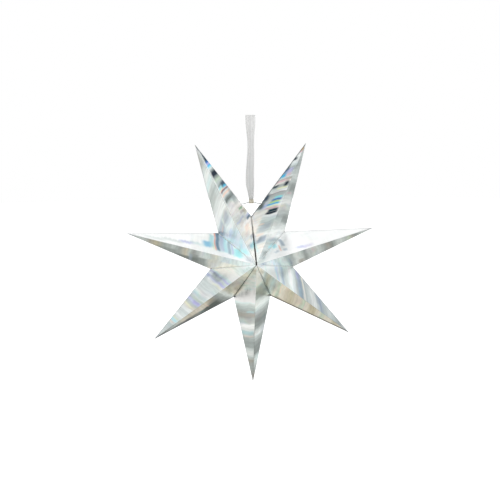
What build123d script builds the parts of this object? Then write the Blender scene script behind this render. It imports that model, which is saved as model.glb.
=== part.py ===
"""Folding card star that hangs on a ribbon loop.

Seven hollow points, each of four flat triangles of card, fold about their creases like a fan.
The row's origin is the centre of the ribbon loop's top fold, where the star hangs from a hook.
X runs to the right along the wire, -Y is the front of the star and +Z is up.
"""
import os
from math import acos, atan2, cos, degrees, hypot, pi, sin

from build123d import *

# ---- driving dimensions, in mm ----
POINTS = 7
TIP_REACH = 200.0  # star centre to each tip
NOTCH_REACH = 67.2  # star centre to each notch between two points
HALF_DEPTH = 66.0  # star centre to the front peak, and to the back peak
CARD = 0.4  # card thickness
CREASE = 0.05  # the crease lines run this far off both faces of the card

JOINT_GAP = 0.02  # half the gap between two cards that share a crease
RIDGE_GAP = 1.2  # the same, on the free ridges of the back
VALLEY_GAP = 0.4  # the same, in the free valleys of the back
SEAM_GAP = 0.5  # the same, on the front seam above the centre, where the fan closes
FRONT_CUT = 2.0  # card trimmed off the corners that meet at the front peak
BACK_CUT = 6.0  # the same, at the back peak

WIRE_RADIUS = 0.5
WIRE_HOLE_RADIUS = 2.0
WIRE_HOLE_FROM_NOTCH = 24.3  # along the edge crease
WIRE_RISE = 2.9  # how far the wire's middle stands above its two ends
WIRE_STUB = 2.0  # straight end inside each point

CLAMP_LENGTH = 8.0
CLAMP_DEPTH = 4.4
CLAMP_HEIGHT = 6.4
CLAMP_BORE_RADIUS = 1.6
CLAMP_BELOW_WIRE = 2.4  # wire centre down to the clamp's lower face
CLAMP_CORNER = 1.2

RIBBON_WIDTH = 15.0
RIBBON_THICKNESS = 0.4
RIBBON_TOP_HEIGHT = 224.0  # star centre to the outside of the top fold
LOOP_RADIUS = 3.0  # inside of the top fold
GATHER_WIDTH = 7.4  # ribbon width just above the clamp
GATHER_HEIGHT = 14.0  # the stretch over which the ribbon widens above the clamp
GATHER_DEPTH = 1.0  # half the depth of the gathered end
RIBBON_SPREAD = 26.0  # height above the clamp where the two layers are fully apart
TURN_GAP = 0.3  # between the ribbon's gathered end and the clamp

# ---- worked out ----
STAR_DROP = RIBBON_TOP_HEIGHT - LOOP_RADIUS - RIBBON_THICKNESS
STAR_CENTRE = Vector(0, 0, -STAR_DROP)
FRONT_PEAK = STAR_CENTRE - Vector(0, HALF_DEPTH, 0)
BACK_PEAK = STAR_CENTRE + Vector(0, HALF_DEPTH, 0)
HALF_STEP = pi / POINTS  # from a notch to the next tip, round the star


def on_rim(reach, angle):
    """A point of the star's middle plane, at a clockwise angle from straight up."""
    return STAR_CENTRE + Vector(reach * sin(angle), 0, reach * cos(angle))


def notch(number):
    """Notch 0 is at the top, between the last point and the first."""
    return on_rim(NOTCH_REACH, 2 * number * HALF_STEP)


def tip(number):
    return on_rim(TIP_REACH, (2 * number - 1) * HALF_STEP)


EDGE_LENGTH = (tip(1) - notch(0)).length
HOLE_POINT = notch(0) + (tip(1) - notch(0)) * (WIRE_HOLE_FROM_NOTCH / EDGE_LENGTH)
WIRE_SPAN = HOLE_POINT.X  # star's middle to each hole
CROWN = Vector(0, 0, HOLE_POINT.Z + WIRE_RISE)
CLAMP_BOTTOM = CROWN.Z - CLAMP_BELOW_WIRE
CLAMP_TOP = CLAMP_BOTTOM + CLAMP_HEIGHT


# ---- the card ----
def crossing(first, second):
    """Where two lines of a sketch meet. Each line is a point and a direction."""
    (p, u), (q, v) = first, second
    reach = (q - p).cross(v).Z / u.cross(v).Z
    return p + u * reach


def inset_line(start, end, inset):
    """The line from start to end, moved to its left."""
    along = (end - start).normalized()
    return start + Vector(-along.Y, along.X, 0) * inset, along


def lean(normal, mirror_normal):
    """The sharp angle between a card and a plane that it is mirrored in."""
    return acos(abs(normal.dot(mirror_normal)))


def mitre(gap, depth, angle):
    """How far an edge is set in at a depth below the crease surface.

    The angle is between the card and its mirror plane, measured on the card's inner side.
    """
    return (gap + depth * cos(angle)) / sin(angle)


def card_outline(corners, angles, gaps, cut, depth):
    """The four-sided outline of a card at one depth, in its own plane.

    Corners are notch, tip and peak. Angles and gaps are those of the edge, the ridge and the valley.
    """
    at_notch, at_tip, at_peak = corners
    edge, ridge, valley = [
        inset_line(start, end, mitre(gap, depth, angle))
        for start, end, angle, gap in zip(corners, (at_tip, at_peak, at_notch), angles, gaps)
    ]
    to_middle = ((at_notch - at_peak).normalized() + (at_tip - at_peak).normalized()).normalized()
    corner = (at_peak + to_middle * cut, Vector(-to_middle.Y, to_middle.X, 0))
    return [
        crossing(edge, valley),
        crossing(edge, ridge),
        crossing(ridge, corner),
        crossing(corner, valley),
    ]


def make_card(label, at_notch, at_tip, peak, ridge_gap, valley_gap, cut, wire_hole=None):
    """One flat triangle of card between a notch, a tip and the front or back peak."""
    along = (at_tip - at_notch).normalized()
    normal = along.cross(peak - at_notch).normalized()
    inward = 1 if normal.dot(STAR_CENTRE - at_notch) > 0 else -1
    crease_plane = Plane(origin=at_notch, x_dir=along, z_dir=normal)

    to_tip = (at_tip - STAR_CENTRE).normalized()
    to_notch = (at_notch - STAR_CENTRE).normalized()
    front = Vector(0, -1, 0)
    angles = (
        lean(normal, front),
        lean(normal, to_tip.cross(front)),
        pi - lean(normal, to_notch.cross(front)),
    )
    gaps = (JOINT_GAP, ridge_gap, valley_gap)
    corners = [crease_plane.to_local_coords(point) for point in (at_notch, at_tip, peak)]

    with BuildPart() as card:
        for depth in (CREASE, CREASE + CARD):
            with BuildSketch(crease_plane.offset(inward * depth)):
                Polygon(*card_outline(corners, angles, gaps, cut, depth), align=None)
        loft()
        if wire_hole is not None:
            with Locations(Location(wire_hole, (0, 90, 0))):
                Cylinder(WIRE_HOLE_RADIUS, 4 * WIRE_HOLE_RADIUS, mode=Mode.SUBTRACT)
    card.part.label = label
    return card.part


def make_cards():
    """The 28 cards: points are numbered clockwise from the seam above the front peak."""
    cards = []
    for number in range(1, POINTS + 1):
        for side, at_notch in (("left", notch(number - 1)), ("right", notch(number))):
            seam_side = (number, side) in ((1, "left"), (POINTS, "right"))
            hole = None
            if seam_side:
                hole = Vector(HOLE_POINT.X if number == 1 else -HOLE_POINT.X, 0, HOLE_POINT.Z)
            front_valley = SEAM_GAP if seam_side else JOINT_GAP
            name = f"point_{number}_front_{side}"
            cards.append(
                make_card(name, at_notch, tip(number), FRONT_PEAK, JOINT_GAP, front_valley, FRONT_CUT, hole)
            )
            name = f"point_{number}_back_{side}"
            cards.append(
                make_card(name, at_notch, tip(number), BACK_PEAK, RIDGE_GAP, VALLEY_GAP, BACK_CUT, hole)
            )
    return cards


# ---- closure wire: a low arch between two level ends that pass through the card ----
BEND = 2 * atan2(WIRE_RISE, WIRE_SPAN)
BEND_RADIUS = WIRE_SPAN / (2 * sin(BEND))

with BuildPart() as closure_wire:
    with BuildLine(Plane.XZ) as wire_path:
        left_end = Line((-WIRE_SPAN - WIRE_STUB, HOLE_POINT.Z), (-WIRE_SPAN, HOLE_POINT.Z))
        rise = JernArc(left_end @ 1, left_end % 1, BEND_RADIUS, degrees(BEND))
        crown = JernArc(rise @ 1, rise % 1, BEND_RADIUS, -2 * degrees(BEND))
        fall = JernArc(crown @ 1, crown % 1, BEND_RADIUS, degrees(BEND))
        Line(fall @ 1, (WIRE_SPAN + WIRE_STUB, HOLE_POINT.Z))
    with BuildSketch(Plane(origin=wire_path.line @ 0, z_dir=wire_path.line % 0)):
        Circle(WIRE_RADIUS)
    sweep(path=wire_path.line)
closure_wire.part.label = "closure_wire"

# ---- ribbon clamp: a crimped metal barrel that the wire runs through ----
with BuildPart() as ribbon_clamp:
    with BuildSketch(Plane.YZ):
        with Locations((0, (CLAMP_BOTTOM + CLAMP_TOP) / 2)):
            RectangleRounded(CLAMP_DEPTH, CLAMP_HEIGHT, CLAMP_CORNER)
    extrude(amount=CLAMP_LENGTH / 2, both=True)
    fillet(ribbon_clamp.faces().sort_by(Axis.X)[-1].edges(), CLAMP_CORNER / 2)
    fillet(ribbon_clamp.faces().sort_by(Axis.X)[0].edges(), CLAMP_CORNER / 2)
    with Locations(Location(CROWN, (0, 90, 0))):
        Cylinder(CLAMP_BORE_RADIUS, CLAMP_LENGTH, mode=Mode.SUBTRACT)
ribbon_clamp.part.label = "ribbon_clamp"

# ---- ribbon loop: two layers that meet in a gathered end, folded over at the top ----
RIBBON_BOTTOM = CLAMP_TOP + TURN_GAP
SPREAD_Z = CLAMP_TOP + RIBBON_SPREAD
GATHER_Z = CLAMP_TOP + GATHER_HEIGHT
OUTSIDE = LOOP_RADIUS + RIBBON_THICKNESS

with BuildPart() as ribbon_loop:
    with BuildSketch(Plane.YZ) as side_view:
        with BuildLine():
            Polyline((-OUTSIDE, 0), (-OUTSIDE, SPREAD_Z), (-GATHER_DEPTH, RIBBON_BOTTOM))
            Line((-GATHER_DEPTH, RIBBON_BOTTOM), (GATHER_DEPTH, RIBBON_BOTTOM))
            Polyline((GATHER_DEPTH, RIBBON_BOTTOM), (OUTSIDE, SPREAD_Z), (OUTSIDE, 0))
            ThreePointArc((OUTSIDE, 0), (0, OUTSIDE), (-OUTSIDE, 0))
        make_face()
        offset(amount=-RIBBON_THICKNESS, kind=Kind.INTERSECTION, mode=Mode.SUBTRACT)
    extrude(amount=RIBBON_WIDTH / 2, both=True)
    with BuildSketch(Plane.XZ) as front_view:
        with BuildLine():
            Polyline(
                (-GATHER_WIDTH / 2, RIBBON_BOTTOM),
                (GATHER_WIDTH / 2, RIBBON_BOTTOM),
                (RIBBON_WIDTH / 2, GATHER_Z),
                (RIBBON_WIDTH / 2, OUTSIDE),
                (-RIBBON_WIDTH / 2, OUTSIDE),
                (-RIBBON_WIDTH / 2, GATHER_Z),
                close=True,
            )
        make_face()
    extrude(amount=OUTSIDE, both=True, mode=Mode.INTERSECT)
ribbon_loop.part.label = "ribbon_loop"

# ---- files ----
os.makedirs("parts", exist_ok=True)
for piece in [ribbon_loop.part, ribbon_clamp.part, closure_wire.part, *make_cards()]:
    export_step(piece, f"parts/{piece.label}.step")

edge_run = hypot(TIP_REACH, HALF_DEPTH)
print(f"star centre {STAR_DROP:.1f} below the loop, ridge {edge_run:.1f}, edge {EDGE_LENGTH:.1f}")
print(f"wire holes at x {WIRE_SPAN:.2f}, z {HOLE_POINT.Z:.2f}; wire crown at z {CROWN.Z:.2f}")
print(f"clamp from z {CLAMP_BOTTOM:.2f} to {CLAMP_TOP:.2f}; wire bends on radius {BEND_RADIUS:.1f}")
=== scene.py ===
"""Folding foil card star on a ribbon loop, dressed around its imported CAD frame.

Twenty-eight triangles of holographic foil card, the closure wire, a crimped metal clamp and an
organza ribbon. Every length is in metres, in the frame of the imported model: X to the right along
the wire, -Y to the front of the star, +Z up, with the origin in the ribbon loop's top fold.
"""

import math

import bmesh
import bpy
import numpy as np
from mathutils import Matrix, Vector


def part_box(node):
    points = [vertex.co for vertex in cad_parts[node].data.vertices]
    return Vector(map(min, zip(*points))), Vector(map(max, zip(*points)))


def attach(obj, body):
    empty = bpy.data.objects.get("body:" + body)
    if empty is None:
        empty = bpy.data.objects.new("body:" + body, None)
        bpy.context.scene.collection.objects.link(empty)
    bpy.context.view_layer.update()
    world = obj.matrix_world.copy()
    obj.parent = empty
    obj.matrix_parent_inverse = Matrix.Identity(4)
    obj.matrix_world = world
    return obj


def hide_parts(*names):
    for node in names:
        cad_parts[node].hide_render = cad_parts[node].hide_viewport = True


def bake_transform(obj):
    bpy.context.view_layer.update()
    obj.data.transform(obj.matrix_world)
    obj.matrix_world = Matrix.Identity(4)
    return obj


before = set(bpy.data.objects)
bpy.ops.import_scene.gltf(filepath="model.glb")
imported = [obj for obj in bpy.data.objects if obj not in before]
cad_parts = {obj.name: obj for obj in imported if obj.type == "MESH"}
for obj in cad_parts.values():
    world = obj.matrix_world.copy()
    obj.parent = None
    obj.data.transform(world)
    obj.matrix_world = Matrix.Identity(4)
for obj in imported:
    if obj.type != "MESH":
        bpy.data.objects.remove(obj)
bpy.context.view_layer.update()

# ---- driving dimensions, the same as the frame's ----
POINTS = 7
TIP_REACH = 0.200
NOTCH_REACH = 0.0672
HALF_DEPTH = 0.066
CARD = 0.0004
CREASE = 0.00005  # the crease lines run this far off the card's face
JOINT_GAP = 0.00002  # half the gap between two cards that share a crease
PEAK_CUT = 0.002  # card trimmed off the corners that meet at a peak
RIBBON_TOP_HEIGHT = 0.224  # star centre to the outside of the top fold
WIRE_RADIUS = 0.0005
WIRE_STUB = 0.002  # straight end of the wire inside each point
WIRE_HOLE_RADIUS = 0.002

# ---- the front seam, half its gap: it widens from the notch to the peak ----
SEAM_GAP_NOTCH = 0.0001
SEAM_GAP_PEAK = 0.0009

# ---- places worked out from the frame ----
RIBBON_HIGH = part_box("ribbon_loop")[1]
CLAMP_LOW, CLAMP_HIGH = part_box("ribbon_clamp")
WIRE_LOW, WIRE_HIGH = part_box("closure_wire")
STAR_CENTRE = np.array([0.0, 0.0, RIBBON_HIGH.z - RIBBON_TOP_HEIGHT])
FRONT = np.array([0.0, -1.0, 0.0])
HALF_STEP = math.pi / POINTS  # from a notch to the next tip, round the star


def on_rim(reach, angle):
    """A point of the star's middle plane, at a clockwise angle from straight up."""
    return STAR_CENTRE + reach * np.array([math.sin(angle), 0.0, math.cos(angle)])


def notch(number):
    """Notch 0 is at the top, between the last point and the first."""
    return on_rim(NOTCH_REACH, 2 * number * HALF_STEP)


def tip(number):
    return on_rim(TIP_REACH, (2 * number - 1) * HALF_STEP)


def unit(vector):
    return vector / np.linalg.norm(vector)


def add_object(name, data):
    made = bpy.data.objects.new(name, data)
    bpy.context.scene.collection.objects.link(made)
    return made


# ---- camera ----
CAMERA_DISTANCE = 8 * TIP_REACH
CAMERA_PITCH = math.radians(7.97)
CAMERA_YAW = math.radians(6.16)
CAMERA_ROLL = math.radians(-0.58)
CAMERA_SIDE = 0.014 * TIP_REACH
CAMERA_RISE = -0.067 * TIP_REACH
CAMERA_LENS = 73.2
CAMERA_SENSOR = 36.0


def make_camera():
    """Looks at the star from a little to its left and a little above."""
    to_view = (
        Matrix.Rotation(CAMERA_PITCH, 3, "X")
        @ Matrix.Rotation(CAMERA_YAW, 3, "Z")
        @ Matrix.Rotation(CAMERA_ROLL, 3, "Y")
    )
    to_world = to_view.transposed()
    data = bpy.data.cameras.new("camera")
    data.lens = CAMERA_LENS
    data.sensor_width = CAMERA_SENSOR
    camera = add_object("camera", data)
    offset = to_world @ Vector((-CAMERA_SIDE, -CAMERA_DISTANCE, -CAMERA_RISE))
    right, forward, up = (to_world.col[i] for i in range(3))
    turn = Matrix((right, up, -forward)).transposed()
    camera.matrix_world = Matrix.Translation(Vector(STAR_CENTRE) + offset) @ turn.to_4x4()
    bpy.context.scene.camera = camera


make_camera()

# ---- colours, as a printer would name them ----
PALETTE = {
    "white": "FBFDFC", "pearl": "E8ECEA", "silver": "D2DAD8", "mist": "BEC8C6", "grey": "A5AEAC",
    "slate": "8A9391", "smoke": "69726F", "ink": "182838", "chalk": "F0EAE4", "cream": "DAD6C8",
    "beige": "CBC6B4", "khaki": "BDB8A0", "olive": "9F9C88", "stone": "A5A39B", "umber": "75654F",
    "ice": "D6E9E9", "aqua": "A8DEE7", "turquoise": "7EE3E9", "azure": "3CB2DC", "blue": "2C6EB2",
    "navy": "233E56", "steel": "5E7C98", "haze": "A2AFBD", "lavender": "C8CDE8", "lilac": "B3AFDC",
    "violet": "8D84CE", "plum": "74606C", "mint": "C2E6D8", "sage": "BBCAB8", "green": "84C79A",
    "lemon": "E8ECC0", "lime": "B9E07A", "teal": "3E6A70", "petrol": "223C46", "moss": "3B4A44",
    "peach": "EBCAB9", "pink": "E4B7C3", "salmon": "EFA593", "gold": "DAAA5E", "bark": "453C33",
    "ribbon_grey": "D2D2D1", "ribbon_pale": "EAEAE9",
}


def linear(code):
    """The linear colour of a six-figure sRGB code."""
    channels = [int(code[i : i + 2], 16) / 255 for i in (0, 2, 4)]
    return [c / 12.92 if c <= 0.04045 else ((c + 0.055) / 1.055) ** 2.4 for c in channels] + [1.0]


def colour(name):
    return linear(PALETTE[name])


def coloured(stops):
    """Stops with the palette's colours in place of their names."""
    return [(position, colour(name)) for position, name in stops]


# ---- node helpers ----
class Nodes:
    """A node tree, with short calls for what this script needs of it."""

    def __init__(self, tree):
        self.tree = tree

    def add(self, kind, **settings):
        node = self.tree.nodes.new(kind if kind.startswith("Node") else "ShaderNode" + kind)
        for key, value in settings.items():
            setattr(node, key, value)
        return node

    def put(self, socket, value):
        """Sets a socket to a number, or links it to another node's output."""
        if isinstance(value, bpy.types.NodeSocket):
            self.tree.links.new(value, socket)
        else:
            socket.default_value = value

    def fill(self, node, values):
        """Puts values in a node's first sockets, in order."""
        for socket, value in zip(node.inputs, values):
            self.put(socket, value)
        return node.outputs[0]

    def math(self, operation, *values):
        return self.fill(self.add("Math", operation=operation), values)

    def ease(self, value, low, high, start=0.0, end=1.0):
        """A smooth step from start to end as value goes from low to high."""
        node = self.add("MapRange", interpolation_type="SMOOTHSTEP")
        return self.fill(node, (value, low, high, start, end))

    def ramp(self, value, stops):
        """A colour ramp from (position, colour) stops, in order."""
        node = self.add("ValToRGB")
        self.put(node.inputs[0], value)
        elements = node.color_ramp.elements
        elements.remove(elements[1])
        elements[0].position, elements[0].color = stops[0]
        for position, channels in stops[1:]:
            elements.new(position).color = channels
        return node.outputs[0]

    def mix(self, factor, first, second, blend="MIX"):
        node = self.add("Mix", data_type="RGBA", blend_type=blend, clamp_result=True)
        for index, value in ((0, factor), (6, first), (7, second)):
            self.put(node.inputs[index], value)
        return node.outputs[2]

    def vector(self, x, y, z=0.0):
        return self.fill(self.add("CombineXYZ"), (x, y, z))

    def split(self, vector):
        """The X, Y and Z of a vector."""
        node = self.add("SeparateXYZ")
        self.put(node.inputs[0], vector)
        return node.outputs

    def noise(self, vector, scale, detail=2.0, roughness=0.5):
        node = self.add("TexNoise")
        self.put(node.inputs["Vector"], vector)
        node.inputs["Scale"].default_value = scale
        node.inputs["Detail"].default_value = detail
        node.inputs["Roughness"].default_value = roughness
        return node.outputs[0]

    def attribute(self, name):
        return self.add("Attribute", attribute_name=name).outputs["Fac"]

    def bump(self, height, strength, distance, normal=None):
        node = self.add("Bump")
        node.inputs["Strength"].default_value = strength
        node.inputs["Distance"].default_value = distance
        self.put(node.inputs["Height"], height)
        if normal is not None:
            self.put(node.inputs["Normal"], normal)
        return node.outputs[0]


class Surface(Nodes):
    """A new material and its shader."""

    def __init__(self, name, metallic=0.0):
        self.material = bpy.data.materials.new(name)
        self.material.use_nodes = True
        super().__init__(self.material.node_tree)
        self.inputs = self.tree.nodes["Principled BSDF"].inputs
        self.inputs["Metallic"].default_value = metallic

    def finish(self, tint, roughness, normal=None):
        """Joins the colour, the roughness and the normal to the shader."""
        self.put(self.inputs["Base Color"], tint)
        self.put(self.inputs["Roughness"], roughness)
        if normal is not None:
            self.put(self.inputs["Normal"], normal)
        return self.material


# ---- how each front card's foil looks ----
# Along a card 0 is the peak and 1 the tip; across it 0 is the ridge and 1 the notch.
# "bands" are the colours along the card, and "lean" tilts them across it: the foil's own tints mixed
# with painted reflections, white where a card faces the bright light overhead and dark where they stand
# for dark surroundings mirrored in the foil.
# A patch is (start, end, near, far, colour, strength): two limits along, then two across. Patches too
# mix the foil's own tints with painted reflections, and the dark ones near a card's lower edge and by
# the valleys are painted shade.
# "lift" is painted light: it brightens the card near the peak and further out, to offset the shade of
# the star's hollow middle.
# "ridge", "valley" and "edge" are the colour and the width of a line along a crease: wear of the foil
# on the ridges and thin edges, painted shade in the dark valley lines and the wide dark bands along
# lower edges, and painted light where a valley or an edge is white.
# "lively" is the strength of the streaks and rainbows.
FOIL_LOOKS = {
    "1_left": dict(
        lift=(1.25, 1.12), lean=0.09, edge=("smoke", 0.0030),
        bands=[
            (0.00, "silver"), (0.07, "pearl"), (0.15, "chalk"), (0.20, "silver"), (0.25, "pearl"),
            (0.29, "silver"), (0.36, "mist"), (0.40, "silver"), (0.43, "pearl"), (0.48, "chalk"),
            (0.50, "pearl"), (0.56, "silver"), (0.60, "grey"), (0.615, "pearl"), (0.64, "silver"),
            (0.67, "grey"), (0.69, "chalk"), (0.71, "stone"), (0.73, "silver"), (0.76, "mist"),
            (0.80, "grey"), (0.84, "silver"), (0.90, "pearl"), (0.95, "grey"), (1.00, "silver"),
        ],
        patches=[
            (0.14, 0.43, 0.55, 1.20, "chalk", 0.9), (0.19, 0.245, 0.06, 0.33, "haze", 0.9),
            (0.20, 0.25, 0.22, 0.34, "teal", 0.3), (0.255, 0.275, 0.22, 0.46, "peach", 0.4),
            (0.29, 0.36, 0.08, 0.46, "haze", 0.5), (0.345, 0.36, 0.36, 0.54, "peach", 0.5),
            (0.43, 0.448, 0.05, 0.45, "ink", 1.0), (0.446, 0.472, 0.05, 0.42, "petrol", 1.0),
            (0.478, 0.488, 0.10, 0.55, "pink", 0.9), (0.49, 0.50, 0.08, 0.50, "lemon", 0.9),
            (0.507, 0.523, 0.10, 0.80, "azure", 0.9), (0.525, 0.538, 0.12, 0.48, "lime", 0.9),
            (0.54, 0.558, 0.08, 0.44, "blue", 0.9), (0.558, 0.575, 0.07, 0.36, "turquoise", 0.8),
            (0.49, 0.54, 0.55, 0.72, "lavender", 0.8), (0.50, 0.56, 0.68, 0.98, "smoke", 0.9),
            (0.56, 0.62, 0.60, 0.90, "navy", 0.9), (0.635, 0.65, 0.05, 0.40, "lemon", 0.8),
            (0.605, 0.612, 0.05, 0.60, "plum", 0.6), (0.65, 0.69, 0.06, 0.19, "ink", 1.0),
            (0.66, 0.68, 0.40, 0.75, "petrol", 0.9), (0.70, 0.712, 0.18, 0.60, "pink", 0.7),
            (0.735, 0.76, 0.10, 0.28, "pink", 0.6), (0.76, 0.80, 0.10, 0.28, "lilac", 0.7),
            (0.735, 0.765, 0.28, 0.55, "azure", 0.95), (0.765, 0.80, 0.30, 0.55, "blue", 0.7),
            (0.79, 0.84, 0.26, 0.55, "navy", 0.8), (0.70, 0.73, 0.52, 0.75, "petrol", 0.8),
            (0.865, 0.89, 0.10, 0.45, "ink", 1.0), (0.925, 0.935, 0.00, 0.40, "pink", 0.8),
            (0.94, 0.97, 0.00, 0.40, "gold", 0.9),
        ],
    ),
    "1_right": dict(
        lift=(1.2, 0.95), lean=-0.10,
        bands=[
            (0.00, "pearl"), (0.06, "silver"), (0.10, "mist"), (0.14, "silver"), (0.19, "mist"),
            (0.23, "pearl"), (0.28, "pearl"), (0.33, "silver"), (0.365, "mist"), (0.39, "grey"),
            (0.43, "mist"), (0.46, "silver"), (0.51, "pearl"), (0.55, "silver"), (0.60, "mist"),
            (0.64, "grey"), (0.68, "mist"), (0.73, "silver"), (0.77, "mist"), (0.82, "grey"),
            (0.88, "mist"), (0.93, "silver"), (1.00, "pearl"),
        ],
        patches=[
            (0.34, 0.40, 0.45, 1.10, "slate", 0.8), (0.58, 0.66, 0.15, 0.70, "slate", 0.7),
            (0.07, 0.11, 0.12, 0.40, "slate", 0.6), (0.13, 0.15, 0.30, 0.60, "aqua", 0.5),
            (0.575, 0.59, 0.10, 0.40, "pink", 0.35), (0.47, 0.485, 0.00, 0.20, "lemon", 0.4),
        ],
    ),
    # This card faces up: its white is a painted reflection of the bright light overhead, and so is its
    # white edge.
    "2_left": dict(
        lift=(1.15, 0.875), lean=-0.04, lively=0.2, edge=("white", 0.0005),
        bands=[(0.00, "silver"), (0.05, "pearl"), (0.12, "white"), (1.00, "white")],
        patches=[
            (0.05, 0.09, 0.14, 0.30, "haze", 0.4), (0.17, 0.215, 0.22, 0.32, "haze", 0.6),
            (0.245, 0.28, 0.20, 0.32, "haze", 0.7), (0.175, 0.215, 0.42, 0.62, "aqua", 0.8),
            (0.245, 0.275, 0.42, 0.74, "steel", 0.6), (0.222, 0.235, 0.24, 0.52, "salmon", 0.6),
            (0.22, 0.24, 0.66, 0.88, "lavender", 0.5), (0.35, 0.42, 0.12, 0.22, "lavender", 0.9),
            (0.40, 0.48, 0.07, 0.16, "lilac", 0.5),
        ],
    ),
    "2_right": dict(
        lift=(1.42, 0.99), lean=-0.11,
        bands=[
            (0.00, "silver"), (0.05, "haze"), (0.09, "silver"), (0.16, "silver"), (0.24, "mist"),
            (0.28, "grey"), (0.32, "silver"), (0.36, "mist"), (0.39, "slate"), (0.43, "mist"),
            (0.48, "silver"), (0.53, "mist"), (0.56, "grey"), (0.59, "stone"), (0.63, "slate"),
            (0.66, "mist"), (0.70, "silver"), (0.74, "mist"), (0.78, "sage"), (0.80, "stone"),
            (0.84, "slate"), (0.88, "mist"), (0.94, "silver"), (1.00, "mist"),
        ],
        patches=[
            (0.32, 0.37, 0.60, 1.10, "stone", 0.8), (0.10, 0.14, 0.05, 0.60, "ice", 0.6),
            (0.56, 0.60, 0.30, 0.80, "slate", 0.6), (0.455, 0.465, 0.05, 0.30, "pink", 0.35),
        ],
    ),
    "3_left": dict(
        lift=(1.5, 0.9), lean=0.06,
        bands=[
            (0.00, "silver"), (0.05, "chalk"), (0.10, "silver"), (0.19, "pearl"), (0.225, "lavender"),
            (0.25, "silver"), (0.28, "haze"), (0.31, "mist"), (0.35, "silver"), (0.38, "pearl"),
            (0.41, "silver"), (0.44, "mist"), (0.465, "haze"), (0.49, "haze"), (0.505, "mist"),
            (0.515, "chalk"), (0.53, "mist"), (0.57, "silver"), (0.62, "pearl"), (0.66, "silver"),
            (0.69, "haze"), (0.73, "mist"), (0.78, "silver"), (0.84, "mist"), (0.89, "grey"),
            (0.94, "silver"), (1.00, "mist"),
        ],
        patches=[
            (0.45, 0.50, 0.30, 0.90, "haze", 0.8), (0.505, 0.515, 0.40, 0.90, "lemon", 0.4),
            (0.65, 0.70, 0.25, 0.70, "haze", 0.6), (0.21, 0.225, 0.00, 0.40, "aqua", 0.4),
            (0.455, 0.48, 0.65, 1.00, "lilac", 0.4), (0.455, 0.485, 0.04, 0.36, "aqua", 0.25),
        ],
    ),
    # The bark along the lower edge and the umber patch by the valley are painted shade.
    "3_right": dict(
        lift=(1.35, 1.09), lean=-0.17, edge=("bark", 0.0065),
        bands=[
            (0.00, "silver"), (0.05, "cream"), (0.09, "silver"), (0.13, "beige"), (0.18, "mist"),
            (0.22, "cream"), (0.25, "sage"), (0.29, "cream"), (0.33, "beige"), (0.38, "khaki"),
            (0.42, "beige"), (0.47, "cream"), (0.51, "sage"), (0.54, "cream"), (0.58, "khaki"),
            (0.62, "khaki"), (0.66, "cream"), (0.70, "sage"), (0.74, "cream"), (0.79, "cream"),
            (0.83, "khaki"), (0.88, "cream"), (0.93, "silver"), (1.00, "mist"),
        ],
        patches=[
            (0.05, 0.08, 0.08, 0.22, "olive", 0.4), (0.07, 0.12, 0.32, 0.55, "grey", 0.7),
            (0.17, 0.23, 0.02, 0.40, "ice", 0.35), (0.25, 0.33, 0.78, 1.10, "umber", 0.4),
            (0.26, 0.275, 0.00, 0.60, "peach", 0.4), (0.52, 0.53, 0.10, 0.60, "pink", 0.3),
        ],
    ),
    # The slate valley line here and the grey one of 4_right are painted shade.
    "4_left": dict(
        lift=(1.8, 1.03), lean=-0.02, valley=("slate", 0.0009),
        bands=[
            (0.00, "silver"), (0.05, "mist"), (0.11, "pearl"), (0.15, "pearl"), (0.19, "grey"),
            (0.24, "slate"), (0.28, "slate"), (0.315, "mist"), (0.35, "silver"), (0.38, "mist"),
            (0.41, "grey"), (0.47, "slate"), (0.52, "slate"), (0.54, "grey"), (0.565, "silver"),
            (0.59, "pearl"), (0.62, "mist"), (0.65, "grey"), (0.69, "slate"), (0.75, "slate"),
            (0.78, "mist"), (0.81, "silver"), (0.85, "mist"), (0.89, "grey"), (0.95, "stone"),
            (1.00, "grey"),
        ],
        patches=[
            (0.56, 0.61, 0.40, 0.80, "haze", 0.4), (0.77, 0.83, 0.10, 0.40, "ice", 0.4),
            (0.59, 0.61, 0.05, 0.40, "ice", 0.4),
        ],
    ),
    "4_right": dict(
        lift=(1.85, 1.03), lean=-0.10, valley=("grey", 0.0006),
        bands=[
            (0.00, "pearl"), (0.04, "stone"), (0.09, "mist"), (0.15, "mist"), (0.20, "mist"),
            (0.24, "silver"), (0.265, "white"), (0.30, "ice"), (0.33, "mist"), (0.37, "grey"),
            (0.42, "stone"), (0.46, "mist"), (0.485, "silver"), (0.51, "white"), (0.54, "pearl"),
            (0.57, "mist"), (0.60, "mist"), (0.64, "grey"), (0.69, "grey"), (0.72, "silver"),
            (0.75, "pearl"), (0.78, "mist"), (0.81, "stone"), (0.86, "grey"), (1.00, "stone"),
        ],
        patches=[
            (0.385, 0.40, 0.05, 0.40, "aqua", 0.3), (0.25, 0.265, 0.05, 0.90, "pink", 0.25),
            (0.555, 0.585, 0.05, 0.60, "aqua", 0.4), (0.595, 0.61, 0.05, 0.50, "peach", 0.3),
            (0.20, 0.24, 0.30, 0.90, "ice", 0.5),
        ],
    ),
    # The slate valley line, the ink band along the lower edge and the dark blocks towards the lower
    # side are painted shade.
    "5_left": dict(
        lift=(1.42, 0.93), lean=-0.04, valley=("slate", 0.0008), edge=("ink", 0.0050),
        bands=[
            (0.00, "mist"), (0.05, "mist"), (0.11, "beige"), (0.18, "stone"), (0.25, "stone"),
            (0.30, "beige"), (0.335, "silver"), (0.35, "silver"), (0.37, "grey"), (0.41, "slate"),
            (0.45, "olive"), (0.49, "beige"), (0.55, "cream"), (0.60, "cream"), (0.66, "beige"),
            (0.72, "cream"), (0.79, "mist"), (0.85, "grey"), (0.90, "slate"), (0.95, "smoke"),
            (1.00, "smoke"),
        ],
        patches=[
            (0.20, 0.27, 0.40, 0.90, "olive", 0.7), (0.36, 0.44, 0.45, 1.20, "slate", 0.8),
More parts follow.
